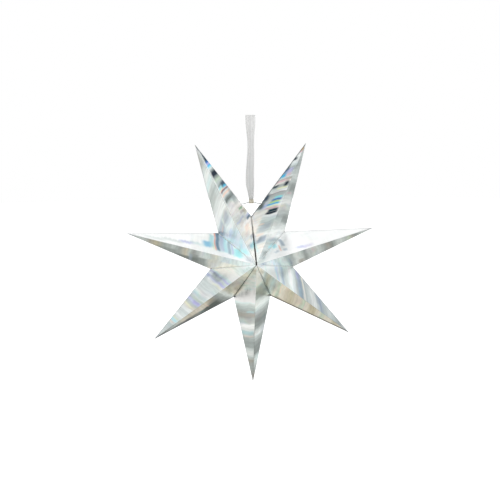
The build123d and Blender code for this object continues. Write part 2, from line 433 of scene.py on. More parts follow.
            (0.41, 0.50, 0.22, 0.50, "smoke", 0.6), (0.42, 0.56, 0.38, 1.20, "moss", 1.0),
            (0.48, 0.61, 0.40, 1.00, "moss", 0.85), (0.565, 0.61, 0.36, 0.56, "teal", 0.6),
            (0.60, 0.72, 0.30, 0.90, "smoke", 0.9), (0.67, 0.78, 0.24, 0.70, "ink", 0.75),
            (0.74, 0.92, 0.17, 0.60, "smoke", 0.9), (0.50, 0.515, 0.15, 0.45, "peach", 0.4),
        ],
    ),
    "5_right": dict(
        lift=(1.35, 1.0), lean=-0.12,
        bands=[
            (0.00, "pearl"), (0.06, "silver"), (0.12, "silver"), (0.17, "pearl"), (0.205, "white"),
            (0.235, "ice"), (0.255, "lavender"), (0.275, "silver"), (0.30, "lavender"), (0.32, "pearl"),
            (0.35, "silver"), (0.41, "silver"), (0.45, "pearl"), (0.475, "ice"), (0.50, "silver"),
            (0.525, "mist"), (0.545, "lavender"), (0.57, "mist"), (0.60, "cream"), (0.625, "pearl"),
            (0.67, "silver"), (0.71, "pearl"), (0.735, "silver"), (0.76, "ice"), (0.78, "silver"),
            (0.82, "mist"), (0.90, "silver"), (1.00, "mist"),
        ],
        patches=[
            (0.25, 0.30, 0.35, 0.78, "grey", 0.6), (0.02, 0.10, 0.15, 0.90, "white", 0.6),
            (0.25, 0.265, 0.02, 0.30, "lilac", 0.5), (0.295, 0.31, 0.02, 0.30, "violet", 0.3),
            (0.29, 0.33, 0.78, 1.00, "steel", 0.35), (0.325, 0.335, 0.05, 0.45, "lemon", 0.4),
            (0.53, 0.56, 0.05, 0.34, "lilac", 0.7), (0.505, 0.525, 0.02, 0.50, "sage", 0.5),
            (0.585, 0.60, 0.15, 0.60, "lemon", 0.4), (0.735, 0.75, 0.05, 0.35, "lemon", 0.4),
            (0.755, 0.775, 0.05, 0.40, "aqua", 0.6), (0.785, 0.795, 0.10, 0.40, "peach", 0.5),
        ],
    ),
    # The smoke and slate patches along the lower side are painted shade.
    "6_left": dict(
        lift=(1.42, 1.04), lean=-0.05,
        bands=[
            (0.00, "silver"), (0.05, "ice"), (0.10, "silver"), (0.18, "mist"), (0.24, "silver"),
            (0.30, "cream"), (0.35, "silver"), (0.40, "silver"), (0.44, "mist"), (0.47, "grey"),
            (0.50, "mist"), (0.53, "beige"), (0.58, "grey"), (0.63, "mist"), (0.70, "grey"),
            (0.76, "khaki"), (0.81, "stone"), (0.86, "mist"), (0.93, "mist"), (1.00, "grey"),
        ],
        patches=[
            (0.10, 0.35, 0.35, 1.20, "cream", 0.8), (0.36, 0.47, 0.42, 1.20, "smoke", 0.7),
            (0.44, 0.62, 0.50, 0.95, "smoke", 0.8), (0.58, 0.76, 0.28, 0.75, "slate", 0.7),
            (0.43, 0.47, 0.28, 0.48, "slate", 0.7), (0.475, 0.50, 0.30, 0.72, "haze", 0.6),
        ],
    ),
    # This card faces up: its white is a painted reflection of the bright light overhead, and so is its
    # white edge.
    "6_right": dict(
        lift=(1.12, 0.9), lean=-0.10, lively=0.3, edge=("white", 0.0005),
        bands=[(0.00, "mist"), (0.03, "pearl"), (0.08, "white"), (1.00, "white")],
        patches=[
            (0.02, 0.08, 0.05, 0.60, "haze", 0.5), (0.07, 0.30, 0.18, 1.20, "ice", 0.7),
            (0.10, 0.165, 0.12, 0.48, "turquoise", 0.6), (0.165, 0.18, 0.20, 0.95, "lavender", 0.8),
            (0.185, 0.208, 0.18, 0.75, "steel", 0.5), (0.21, 0.24, 0.22, 0.90, "aqua", 0.6),
            (0.235, 0.265, 0.24, 0.95, "lavender", 0.6), (0.27, 0.298, 0.22, 1.05, "steel", 0.85),
            (0.298, 0.309, 0.22, 0.98, "salmon", 0.8), (0.312, 0.325, 0.22, 0.50, "lemon", 0.7),
            (0.31, 0.345, 0.34, 0.84, "aqua", 0.7), (0.335, 0.395, 0.27, 0.52, "azure", 0.7),
            (0.40, 0.50, 0.25, 0.36, "ice", 0.8), (0.48, 0.58, 0.21, 0.31, "lavender", 1.0),
            (0.56, 0.72, 0.15, 0.24, "silver", 0.8), (0.70, 0.86, 0.08, 0.15, "silver", 0.8),
        ],
    ),
    # The stone patch from 0.60 to 0.70 along is painted shade.
    "7_left": dict(
        lift=(1.35, 1.12), lean=0.10, ridge=("olive", 0.0010),
        bands=[
            (0.00, "ice"), (0.05, "chalk"), (0.10, "pearl"), (0.16, "pearl"), (0.21, "ice"),
            (0.26, "pearl"), (0.32, "silver"), (0.37, "pearl"), (0.42, "silver"), (0.46, "silver"),
            (0.49, "pearl"), (0.54, "pearl"), (0.60, "silver"), (0.66, "mist"), (0.70, "silver"),
            (0.73, "ice"), (0.77, "pearl"), (0.81, "silver"), (0.87, "mist"), (0.92, "silver"),
            (0.96, "pearl"), (1.00, "pearl"),
        ],
        patches=[
            (0.60, 0.70, 0.20, 0.75, "stone", 0.15), (0.41, 0.48, 0.12, 0.45, "haze", 0.5),
            (0.41, 0.48, 0.55, 1.00, "haze", 0.7), (0.33, 0.37, 0.28, 0.55, "lavender", 0.5),
            (0.19, 0.23, 0.30, 0.50, "peach", 0.4), (0.43, 0.45, 0.60, 0.78, "peach", 0.4),
            (0.02, 0.05, 0.05, 0.25, "aqua", 0.4), (0.84, 0.95, 0.05, 0.40, "stone", 0.5),
        ],
    ),
    "7_right": dict(
        lift=(1.25, 1.18), lean=-0.10,
        bands=[
            (0.00, "chalk"), (0.10, "pearl"), (0.20, "chalk"), (0.32, "pearl"), (0.40, "chalk"),
            (0.46, "pearl"), (0.485, "silver"), (0.505, "smoke"), (0.525, "slate"), (0.54, "silver"),
            (0.555, "peach"), (0.57, "silver"), (0.582, "plum"), (0.592, "peach"), (0.602, "mint"),
            (0.615, "aqua"), (0.63, "slate"), (0.65, "mist"), (0.68, "sage"), (0.70, "slate"),
            (0.715, "ink"), (0.74, "ink"), (0.755, "slate"), (0.775, "silver"), (0.787, "aqua"),
            (0.80, "azure"), (0.815, "lilac"), (0.83, "blue"), (0.85, "petrol"), (0.90, "petrol"),
            (0.95, "petrol"), (1.00, "slate"),
        ],
        patches=[
            (0.44, 0.56, 0.48, 0.90, "slate", 0.6), (0.60, 0.645, 0.28, 0.70, "navy", 0.85),
            (0.592, 0.612, 0.34, 0.60, "azure", 0.7), (0.47, 0.95, -0.40, 0.07, "pearl", 0.85),
            (0.28, 0.30, 0.70, 1.00, "steel", 0.9), (0.30, 0.316, 0.72, 1.00, "lavender", 0.8),
            (0.33, 0.37, 0.70, 1.00, "khaki", 0.7), (0.375, 0.39, 0.54, 0.78, "green", 0.7),
            (0.345, 0.365, 0.52, 0.75, "plum", 0.4), (0.10, 0.14, 0.16, 0.50, "aqua", 0.7),
            (0.15, 0.18, 0.38, 0.62, "steel", 0.45), (0.22, 0.26, 0.36, 0.66, "peach", 0.4),
            (0.28, 0.32, 0.20, 0.45, "peach", 0.25), (0.315, 0.33, 0.05, 0.60, "lavender", 0.5),
        ],
    ),
}
# Ridges and edges: a thin line of wear. Valleys: a white line, painted light against their shade, and
# light wear too.
CREASE_LINES_WEAR_AND_PAINTED_LIGHT = {"ridge": ("mist", 0.0004), "valley": ("white", 0.0010), "edge": ("slate", 0.0004)}
PAINTED_LIGHT_FADE = (0.25, 0.52)  # along the card, where the painted light of the lift goes from one value to the other
PATCH_SOFT_MOST = 0.03  # how soft a patch's start and end are
PATCH_SOFT_SHARE = 0.35  # the same, as a share of a short patch
PATCH_SOFT_ACROSS = 0.06
RAINBOW = [
    (0.00, "pink"), (0.18, "peach"), (0.34, "lemon"), (0.50, "mint"), (0.66, "aqua"),
    (0.82, "lilac"), (1.00, "pink"),
]
RAINBOW_TURNS = 6.0  # rainbows along a card, before they drift
RAINBOW_DRIFT = 3.0
RAINBOW_MOST = 0.22
WAVER = 0.024  # how far a band strays along the card
STREAKS_ALONG = 45.0
STREAKS_ACROSS = 1.6
STREAK_DARK = 0.13  # how much a streak darkens the foil
STREAK_LIGHT = 0.08
STREAK_FRAY = 0.10  # how far the streaks fray a patch, across the card
CREASE_LINE_STRENGTH = 0.9  # strength of a crease line's colour, for wear and painted light alike
CREASE_CORE = 0.2  # its full-strength share of the width


def patch_group():
    """A node group that paints one soft-edged patch over a colour."""
    tree = bpy.data.node_groups.new("foil_patch", "ShaderNodeTree")
    face = tree.interface
    for name in ("along", "across", "start", "end", "near", "far", "soft", "strength"):
        face.new_socket(name, in_out="INPUT", socket_type="NodeSocketFloat")
    for name in ("under", "over"):
        face.new_socket(name, in_out="INPUT", socket_type="NodeSocketColor")
    face.new_socket("colour", in_out="OUTPUT", socket_type="NodeSocketColor")
    nodes = Nodes(tree)
    entry = nodes.add("NodeGroupInput").outputs

    def step(value, limit, soft, start, end):
        """A smooth step from start to end, centred on a limit."""
        gap = nodes.math("SUBTRACT", value, limit)
        return nodes.ease(nodes.math("DIVIDE", gap, soft), -1.0, 1.0, start, end)

    mask = entry["strength"]
    for limit in (
        step(entry["along"], entry["start"], entry["soft"], 0.0, 1.0),
        step(entry["along"], entry["end"], entry["soft"], 1.0, 0.0),
        step(entry["across"], entry["near"], PATCH_SOFT_ACROSS, 0.0, 1.0),
        step(entry["across"], entry["far"], PATCH_SOFT_ACROSS, 1.0, 0.0),
    ):
        mask = nodes.math("MULTIPLY", mask, limit)
    mixed = nodes.mix(mask, entry["under"], entry["over"])
    nodes.put(nodes.add("NodeGroupOutput").inputs["colour"], mixed)
    return tree


PATCH_GROUP = patch_group()


def paint_patches(nodes, tint, patches, along, across):
    """Paints a card's patches over its bands, one after another."""
    for start, end, near, far, name, strength in patches:
        group = nodes.add("Group", node_tree=PATCH_GROUP)
        soft = min(PATCH_SOFT_MOST, PATCH_SOFT_SHARE * (end - start))
        values = dict(
            along=along, across=across, start=start, end=end, near=near, far=far,
            soft=soft, strength=strength, under=tint, over=colour(name),
        )
        for label, value in values.items():
            nodes.put(group.inputs[label], value)
        tint = group.outputs[0]
    return tint


def foil_material(key, look):
    """Holographic foil: leaning bands of colour with painted reflections and painted shade, fine
    streaks, soft rainbows, painted light near the peak, and crease lines of wear and painted light.
    """
    nodes = Surface("foil_" + key, metallic=1.0)
    lively = look.get("lively", 1.0)
    place = nodes.add("UVMap", uv_map="facet").outputs[0]
    run, across = nodes.split(place)[:2]
    waver = nodes.math("MULTIPLY_ADD", nodes.noise(place, 3.0, 1.0), WAVER, -WAVER / 2)
    leaned = nodes.math("MULTIPLY_ADD", across, look["lean"], run)
    along = nodes.math("ADD", leaned, waver)
    thread = nodes.vector(
        nodes.math("MULTIPLY", along, STREAKS_ALONG),
        nodes.math("MULTIPLY", across, STREAKS_ACROSS),
    )
    streak = nodes.noise(thread, 1.0, 1.5, 0.5)
    frayed = nodes.math("MULTIPLY_ADD", nodes.math("SUBTRACT", streak, 0.5), STREAK_FRAY, across)
    tint = nodes.ramp(along, coloured(look["bands"]))

    turns = nodes.math("MULTIPLY", along, RAINBOW_TURNS)
    drift = nodes.noise(nodes.vector(turns, across), 1.1, 1.0)
    drifted = nodes.math("FRACT", nodes.math("MULTIPLY_ADD", drift, RAINBOW_DRIFT, turns))
    sparse = nodes.noise(nodes.vector(nodes.math("MULTIPLY", along, 14.0), across, 3.7), 1.0, 2.0)
    share = nodes.ease(sparse, 0.45, 0.75, 0.0, RAINBOW_MOST * lively)
    tint = nodes.mix(share, tint, nodes.ramp(drifted, coloured(RAINBOW)), "MULTIPLY")
    tint = paint_patches(nodes, tint, look["patches"], along, frayed)

    # Painted light: the lift brightens each card near the peak and further out, against the shade of
    # the star's hollow middle; the streaks darken and lighten the foil.
    bright = nodes.math(
        "MULTIPLY",
        nodes.ease(streak, 0.25, 0.75, 1 - STREAK_DARK * lively, 1 + STREAK_LIGHT * lively),
        nodes.ease(run, *PAINTED_LIGHT_FADE, *look["lift"]),
    )
    tint = nodes.mix(1.0, tint, nodes.vector(bright, bright, bright), "MULTIPLY")

    # Crease lines: wear of the foil, painted shade where a valley line or a wide band along a lower
    # edge is dark, and painted light where a line is white.
    for crease, usual in CREASE_LINES_WEAR_AND_PAINTED_LIGHT.items():
        line_colour, width = look.get(crease, usual)
        gap = nodes.attribute(crease + "_gap")
        wear_and_painted_light = nodes.ease(gap, CREASE_CORE * width, width, CREASE_LINE_STRENGTH, 0.0)
        tint = nodes.mix(wear_and_painted_light, tint, colour(line_colour))

    cloud = nodes.noise(place, 9.0, 3.0)
    ripple = nodes.bump(streak, 0.2, 0.00005)
    dents = nodes.noise(nodes.vector(nodes.math("MULTIPLY", along, 7.0), across), 1.0, 1.0)
    roughness = nodes.ease(cloud, 0.3, 0.7, 0.28, 0.42)
    return nodes.finish(tint, roughness, nodes.bump(dents, 0.3, 0.0006, ripple))


def card_core_material():
    """The white board that shows inside the points and on the cut edges."""
    nodes = Surface("card_core")
    place = nodes.add("TexCoord").outputs["Object"]
    fibre = nodes.noise(place, 900.0, 4.0, 0.7)
    cloud = nodes.noise(place, 60.0, 2.0)
    tint = nodes.mix(nodes.ease(fibre, 0.3, 0.7), colour("chalk"), colour("pearl"))
    tint = nodes.mix(nodes.ease(cloud, 0.4, 0.8, 0.0, 0.25), tint, colour("cream"))
    return nodes.finish(tint, nodes.ease(fibre, 0.2, 0.8, 0.62, 0.78), nodes.bump(fibre, 0.2, 0.00005))


FOILS = {key: foil_material(key, look) for key, look in FOIL_LOOKS.items()}
CARD_CORE = card_core_material()

# ---- the card ----
CARD_ROWS = 40  # cells from the peak to the edge crease
CARD_COLUMNS = 22  # cells from the valley to the ridge
WAVES = 4
WAVE_LENGTHS = (0.030, 0.080)
WAVE_SLOPE = 0.010  # how fast the card may leave its plane, away from a crease
WAVE_MOST = 0.00030
FIRST_SEED = 100
BACK_SHIFT = 3  # a back card wears the foil of a front card this many points round
HOLE_SIDES = 40


def meet(planes):
    """The point that lies in three planes, each a normal, a point and a distance off that point."""
    normals = np.array([normal for normal, _, _ in planes])
    offsets = np.array([normal @ point + gap for normal, point, gap in planes])
    return np.linalg.solve(normals, offsets)


def card_corners(at_notch, at_tip, peak, valley_gaps, depth):
    """Corners of one face of a card: notch, tip, peak beside the ridge, peak beside the valley.

    The valley gaps are the room beside the valley at the notch and at the peak.
    """
    centre = (at_notch + at_tip + peak) / 3
    normal = unit(np.cross(at_tip - at_notch, peak - at_notch))
    outward = normal if normal @ (centre - STAR_CENTRE) > 0 else -normal

    def mirror(first, second, gap):
        """The plane through the star's centre and two directions, on the card's side of it."""
        side = unit(np.cross(first, second))
        side = side if side @ (centre - STAR_CENTRE) > 0 else -side
        return side, STAR_CENTRE, gap

    to_tip, to_notch = at_tip - STAR_CENTRE, at_notch - STAR_CENTRE
    to_middle = unit(unit(at_notch - peak) + unit(at_tip - peak))
    face = (outward, at_notch, -depth)
    edge = mirror(to_tip, to_notch, JOINT_GAP)
    ridge = mirror(to_tip, FRONT, JOINT_GAP)
    outer_valley, inner_valley = (mirror(to_notch, FRONT, gap) for gap in valley_gaps)
    cut = (to_middle, peak, PEAK_CUT)
    planes = (
        (face, edge, outer_valley),
        (face, edge, ridge),
        (face, ridge, cut),
        (face, inner_valley, cut),
    )
    return [meet(three) for three in planes], outward


def card_grid(corners):
    """Points of one face in rows from the peak to the edge and columns from valley to ridge."""
    at_notch, at_tip, peak_ridge, peak_valley = corners
    out = np.linspace(0, 1, CARD_ROWS + 1)[:, None, None]
    over = np.linspace(0, 1, CARD_COLUMNS + 1)[None, :, None]
    inner = (1 - over) * peak_valley + over * peak_ridge
    outer = (1 - over) * at_notch + over * at_tip
    return ((1 - out) * inner + out * outer).reshape(-1, 3)


def strip_faces(rows, columns):
    """The cells of a grid of points that is stored row by row."""
    wide = columns + 1
    firsts = [row * wide + column for row in range(rows) for column in range(columns)]
    return [(first, first + 1, first + wide + 1, first + wide) for first in firsts]


def card_faces():
    """Faces of the outer grid, the inner grid and the rim between them, in that order."""
    wide = CARD_COLUMNS + 1
    count = wide * (CARD_ROWS + 1)
    outer = strip_faces(CARD_ROWS, CARD_COLUMNS)
    inner = [tuple(index + count for index in reversed(face)) for face in outer]
    low = list(range(wide))
    ridge = [row * wide + CARD_COLUMNS for row in range(1, CARD_ROWS + 1)]
    high = [CARD_ROWS * wide + column for column in range(CARD_COLUMNS - 1, -1, -1)]
    valley = [row * wide for row in range(CARD_ROWS - 1, 0, -1)]
    loop = low + ridge + high + valley
    rim = [(b, a, a + count, b + count) for a, b in zip(loop, loop[1:] + loop[:1])]
    return outer, inner, rim


def facet_frame(at_notch, at_tip, peak):
    """Unit vectors along and across a facet, its ridge length and its width at the notch."""
    ridge = at_tip - peak
    length = np.linalg.norm(ridge)
    along = ridge / length
    offset = (at_notch - peak) - ((at_notch - peak) @ along) * along
    return along, unit(offset), length, np.linalg.norm(offset)


def line_distance(points, start, end):
    """Distance of each point from the line through two others."""
    along = unit(end - start)
    offset = points - start
    return np.linalg.norm(offset - np.outer(offset @ along, along), axis=1)


def wave(points, gaps, along, across, seed):
    """How far each point of a card stands off its plane: a few long, shallow waves."""
    random = np.random.default_rng(seed)
    room = np.minimum(np.minimum(*gaps[:2]), gaps[2])
    height = np.zeros(len(points))
    for _ in range(WAVES):
        angle = random.uniform(0, math.pi)
        step = 2 * math.pi / random.uniform(*WAVE_LENGTHS)
        run = points @ (math.cos(angle) * along + math.sin(angle) * across)
        height += np.sin(step * run + random.uniform(0, 2 * math.pi)) / WAVES
    return height * np.minimum(WAVE_SLOPE * room, WAVE_MOST)


def build_mesh(name, points, faces):
    mesh = bpy.data.meshes.new(name)
    mesh.from_pydata([tuple(p) for p in points], [], faces)
    mesh.update()
    mesh.polygons.foreach_set("use_smooth", [True] * len(mesh.polygons))
    return add_object(name, mesh)


def face_outward(piece):
    """Turns every face of a closed mesh to the outside."""
    shape = bmesh.new()
    shape.from_mesh(piece.data)
    bmesh.ops.recalc_face_normals(shape, faces=shape.faces)
    shape.to_mesh(piece.data)
    shape.free()


def apply_modifiers(piece):
    """Replaces a piece's mesh by its evaluated one."""
    bpy.context.view_layer.update()
    graph = bpy.context.evaluated_depsgraph_get()
    mesh = bpy.data.meshes.new_from_object(piece.evaluated_get(graph))
    piece.modifiers.clear()
    piece.data = mesh


def punch_wire_hole(piece, side):
    """Cuts the hole that the closure wire passes through, along X."""
    place = Vector((side * (WIRE_HIGH.x - WIRE_STUB), 0, WIRE_LOW.z + WIRE_RADIUS))
    turn = Matrix.Rotation(math.pi / 2, 4, "Y")
    cutter_shape = bmesh.new()
    bmesh.ops.create_cone(
        cutter_shape,
        cap_ends=True,
        segments=HOLE_SIDES,
        radius1=WIRE_HOLE_RADIUS,
        radius2=WIRE_HOLE_RADIUS,
        depth=4 * WIRE_HOLE_RADIUS,
        matrix=Matrix.Translation(place) @ turn,
    )
    cutter_mesh = bpy.data.meshes.new("hole_cutter")
    cutter_shape.to_mesh(cutter_mesh)
    cutter_shape.free()
    cutter = add_object("hole_cutter", cutter_mesh)
    cut = piece.modifiers.new("hole", "BOOLEAN")
    cut.operation = "DIFFERENCE"
    cut.solver = "EXACT"
    cut.object = cutter
    apply_modifiers(piece)
    bpy.data.objects.remove(cutter)


def make_card(name, key, number, side, front, seed):
    """One triangle of foil card, closed, with its foil face and its board face."""
    at_notch = notch(number - 1) if side == "left" else notch(number)
    at_tip = tip(number)
    peak = STAR_CENTRE + HALF_DEPTH * FRONT * (1 if front else -1)
    seam = (number, side) in ((1, "left"), (POINTS, "right"))
    valley_gaps = (SEAM_GAP_NOTCH, SEAM_GAP_PEAK) if seam and front else (JOINT_GAP, JOINT_GAP)
    grids = []
    for depth in (CREASE, CREASE + CARD):
        corners, outward = card_corners(at_notch, at_tip, peak, valley_gaps, depth)
        grids.append(card_grid(corners))
    along, across, length, width = facet_frame(at_notch, at_tip, peak)
    creases = ((peak, at_tip), (peak, at_notch), (at_notch, at_tip))
    gaps = [line_distance(grids[0], *line) for line in creases]
    lift = wave(grids[0], gaps, along, across, seed)[:, None] * outward
    points = np.concatenate([grid + lift for grid in grids])
    outer, inner, rim = card_faces()
    piece = build_mesh(name, points, outer + inner + rim)
    face_outward(piece)

    mesh = piece.data
    mesh.materials.append(FOILS[key])
    mesh.materials.append(CARD_CORE)
    board = [0] * len(outer) + [1] * (len(inner) + len(rim))
    mesh.polygons.foreach_set("material_index", board)
    flat = [True] * (len(outer) + len(inner)) + [False] * len(rim)
    mesh.polygons.foreach_set("use_smooth", flat)
    paint = mesh.uv_layers.new(name="facet")
    for loop in mesh.loops:
        offset = points[loop.vertex_index] - peak
        paint.data[loop.index].uv = (offset @ along / length, offset @ across / width)
    for crease, line in zip(CREASE_LINES_WEAR_AND_PAINTED_LIGHT, creases):
        attribute = mesh.attributes.new(crease + "_gap", "FLOAT", "POINT")
        attribute.data.foreach_set("value", line_distance(points, *line).astype(np.float32))
    if seam:
        punch_wire_hole(piece, 1 if number == 1 else -1)
    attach(piece, name.removeprefix("foil_"))
    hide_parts(name.removeprefix("foil_"))


def back_key(number, side):
    """Whose foil a back card wears. It isn't the foil in front of it, so the two faces differ."""
    other = "right" if side == "left" else "left"
    return f"{(number - 1 + BACK_SHIFT) % POINTS + 1}_{other}"


def make_cards():
    seed = FIRST_SEED
    for number in range(1, POINTS + 1):
        for side in ("left", "right"):
            name = f"foil_point_{number}_front_{side}"
            make_card(name, f"{number}_{side}", number, side, True, seed)
            name = f"foil_point_{number}_back_{side}"
            make_card(name, back_key(number, side), number, side, False, seed + 1)
            seed += 2


make_cards()


# ---- closure wire ----
def drawn_metal(name, lengthways, crossways, colours, painted_shade=None):
    """Metal drawn along X, its marks this fine to the metre, with dark spots of painted shade if given
    their colour.

    Returns the node tree, its colour and its marks.
    """
    nodes = Surface(name, metallic=1.0)
    place = nodes.add("TexCoord").outputs["Object"]
    x, y, z = nodes.split(place)
    drawn = nodes.vector(
        nodes.math("MULTIPLY", x, lengthways),
        nodes.math("MULTIPLY", y, crossways),
        nodes.math("MULTIPLY", z, crossways),
    )
    marks = nodes.noise(drawn, 1.0, 3.0, 0.6)
    tint = nodes.mix(nodes.ease(marks, 0.3, 0.7), colour(colours[0]), colour(colours[1]))
    if painted_shade is not None:
        # Painted shade: dark spots scattered at random over the metal.
        shade_spots = nodes.noise(place, 500.0, 3.0)
        tint = nodes.mix(nodes.ease(shade_spots, 0.42, 0.66, 0.0, 0.75), tint, colour(painted_shade))
    return nodes, tint, marks


def wire_material():
    """Drawn steel: smooth, with fine draw marks."""
    nodes, tint, marks = drawn_metal("drawn_steel", 120.0, 9000.0, ("smoke", "moss"))
    roughness = nodes.ease(marks, 0.3, 0.7, 0.2, 0.38)
    return nodes.finish(tint, roughness, nodes.bump(marks, 0.15, 0.00003))


def dress(node, material):
    """Gives a carried-over CAD node its material."""
    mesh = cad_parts[node].data
    mesh.materials.clear()
    mesh.materials.append(material)


dress("closure_wire", wire_material())


# ---- clamp: a strip of metal folded round the wire and crimped on the ribbon ----
CLAMP_SHEET = 0.0005
CLAMP_STATIONS = 21
CLAMP_SIDES = 36
CLAMP_LIP = 0.00104  # from the middle plane to each lip at the top, where the ribbon goes in
CLAMP_TAPER = 0.25  # how much the barrel narrows towards its top
CLAMP_FULL = 0.90  # its depth between the crimps, as a share of the frame's
CLAMP_CRIMPS = 3  # two dents, and half a dent at each end
CRIMP_DEPTH = 0.10
END_FLARE = 0.03


def clamp_profile(bulge):
    """The folded strip seen along the wire, from the front lip round the bottom to the back lip."""
    middle = (CLAMP_LOW.z + CLAMP_HIGH.z) / 2
    half_height = (CLAMP_HIGH.z - CLAMP_LOW.z - CLAMP_SHEET) / 2
    half_depth = (CLAMP_HIGH.y - CLAMP_LOW.y - CLAMP_SHEET) / 2 * bulge
    points = []
    for i in range(CLAMP_SIDES + 1):
        turn = math.pi * (2 * i / CLAMP_SIDES - 1)
        height = -math.cos(turn)
        open_top = max(0.0, height)
        depth = math.sin(turn) * half_depth * (1 - CLAMP_TAPER * open_top)
        lip = math.copysign(CLAMP_LIP, turn) * open_top**4
        points.append((depth + lip, middle + half_height * height))
    return points


def clamp_material():
    """Satin champagne metal with brushed marks and dark spots of painted shade."""
    name, colours = "champagne_metal", ("beige", "cream")
    # Umber spots of painted shade over the champagne metal.
    nodes, tint, marks = drawn_metal(name, 300.0, 4000.0, colours, painted_shade="umber")
    roughness = nodes.ease(marks, 0.3, 0.7, 0.26, 0.42)
    return nodes.finish(tint, roughness, nodes.bump(marks, 0.2, 0.00004))


def make_clamp():
    """A crimped barrel, open along its top edge, with the dents that the pliers left."""
    half_length = (CLAMP_HIGH.x - CLAMP_LOW.x) / 2
    points = []
    for i in range(CLAMP_STATIONS):
        share = 2 * i / (CLAMP_STATIONS - 1) - 1
        dent = CRIMP_DEPTH / 2 * (1 - math.cos(CLAMP_CRIMPS * math.pi * share))
        flare = END_FLARE * share**6
        for depth, height in clamp_profile(CLAMP_FULL - dent + flare):
            points.append((share * (half_length - CLAMP_SHEET / 2), depth, height))
    piece = build_mesh("clamp_barrel", points, strip_faces(CLAMP_STATIONS - 1, CLAMP_SIDES))
    shell = piece.modifiers.new("sheet", "SOLIDIFY")
    shell.thickness = CLAMP_SHEET
    shell.offset = 0.0
    rounding = piece.modifiers.new("rounding", "BEVEL")
    rounding.width = CLAMP_SHEET * 0.3
    rounding.segments = 2
    rounding.limit_method = "ANGLE"
    apply_modifiers(piece)
    face_outward(piece)
    piece.data.materials.append(clamp_material())
    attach(piece, "clamp")
    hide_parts("ribbon_clamp")


make_clamp()

# ---- ribbon: one strip of organza, up in front, over the top fold and down behind ----
RIBBON_WIDTH = 0.015
RIBBON_CLOTH = 0.00022
RIBBON_LOOP = 0.0030  # from the middle plane to each layer where they run apart
RIBBON_LAYER = 0.0006  # the same, where they meet in the clamp
RIBBON_STEPS = 150
RIBBON_COLUMNS = 30
GATHER_REACH = 0.022  # height above the clamp over which the ribbon gathers
GATHER_SHARE = 0.46  # its width at the clamp, as a share of the flat width
PLEATS = 3.5
PLEAT_DEPTH = 0.00055
PLEAT_SHIFT = 0.7  # how far the two layers' pleats are out of step
CURL_DEPTH = 0.00025
CURL_ACROSS = 2.1
CURL_UP = 40
SPREAD_REACH = 0.026  # height above the clamp where the two layers are fully apart
TURN_REACH = 0.045  # depth below the top over which the ribbon turns away from square
SEAT_REACH = 0.014  # height above the clamp over which it turns back
TWIST_FRONT = math.radians(47)
TWIST_BACK = math.radians(41)
BELLY_LOW = 0.030  # the ribbon opens again a little between these heights above the clamp
BELLY_HIGH = 0.085
BELLY_TURN = math.radians(13)
BELLY_SHIFT = 0.0020  # and swings this far to the left there
LAYER_SHIFT = 0.0006  # how far each layer stands to its own side, between the ends
RIBBON_STRAIGHT = RIBBON_HIGH.z - RIBBON_LOOP - CLAMP_HIGH.z  # clamp to the start of the top fold
RIBBON_LENGTH = 2 * RIBBON_STRAIGHT + math.pi * RIBBON_LOOP
WARP_THREADS = 90  # across the ribbon
WEFT_THREADS = 1500  # along it


def smooth_step(value):
    value = min(1.0, max(0.0, value))
    return value * value * (3 - 2 * value)


def ribbon_drift(height):
    """0 at the top and in the clamp, and 1 where the two layers hang free between them."""
    below_top = RIBBON_STRAIGHT + RIBBON_LOOP - height
    return smooth_step(below_top / TURN_REACH) * smooth_step(height / SEAT_REACH)


def ribbon_belly(height):
    """1 where the ribbon opens again below its narrowest place, and 0 well above and below."""
    rise = smooth_step(height / BELLY_LOW)
    return rise * smooth_step((BELLY_HIGH - height) / (BELLY_HIGH - BELLY_LOW))


def ribbon_station(share):
    """Height above the clamp, and layer from -1 in front to 1 behind, at a share of the strip."""
    run = share * RIBBON_LENGTH
    if run < RIBBON_STRAIGHT:
        return run, -1.0
    if run > RIBBON_LENGTH - RIBBON_STRAIGHT:
        return RIBBON_LENGTH - run, 1.0
    turn = (run - RIBBON_STRAIGHT) / RIBBON_LOOP
    return RIBBON_STRAIGHT + RIBBON_LOOP * math.sin(turn), -math.cos(turn)


def ribbon_point(share, across):
    """A point of the strip. Across runs from -1 to 1 over its width."""
    height, layer = ribbon_station(share)
    gather = 1 - smooth_step(height / GATHER_REACH)
    half = RIBBON_WIDTH / 2 * (1 - (1 - GATHER_SHARE) * gather)
    apart = RIBBON_LAYER + (RIBBON_LOOP - RIBBON_LAYER) * smooth_step(height / SPREAD_REACH)
    pleat = PLEAT_DEPTH * gather * math.sin(PLEATS * math.pi * across + PLEAT_SHIFT * layer)
    curl = CURL_DEPTH * math.sin(CURL_ACROSS * across + CURL_UP * height) * (1 - gather)
    drift = ribbon_drift(height)
    belly = ribbon_belly(height)
    twist = drift * ((TWIST_FRONT if layer < 0 else TWIST_BACK) - BELLY_TURN * belly)
    x = half * across * math.cos(twist) + LAYER_SHIFT * layer * drift - BELLY_SHIFT * belly
    y = half * across * math.sin(twist) + layer * apart + pleat + curl
    return x, y, CLAMP_HIGH.z + height


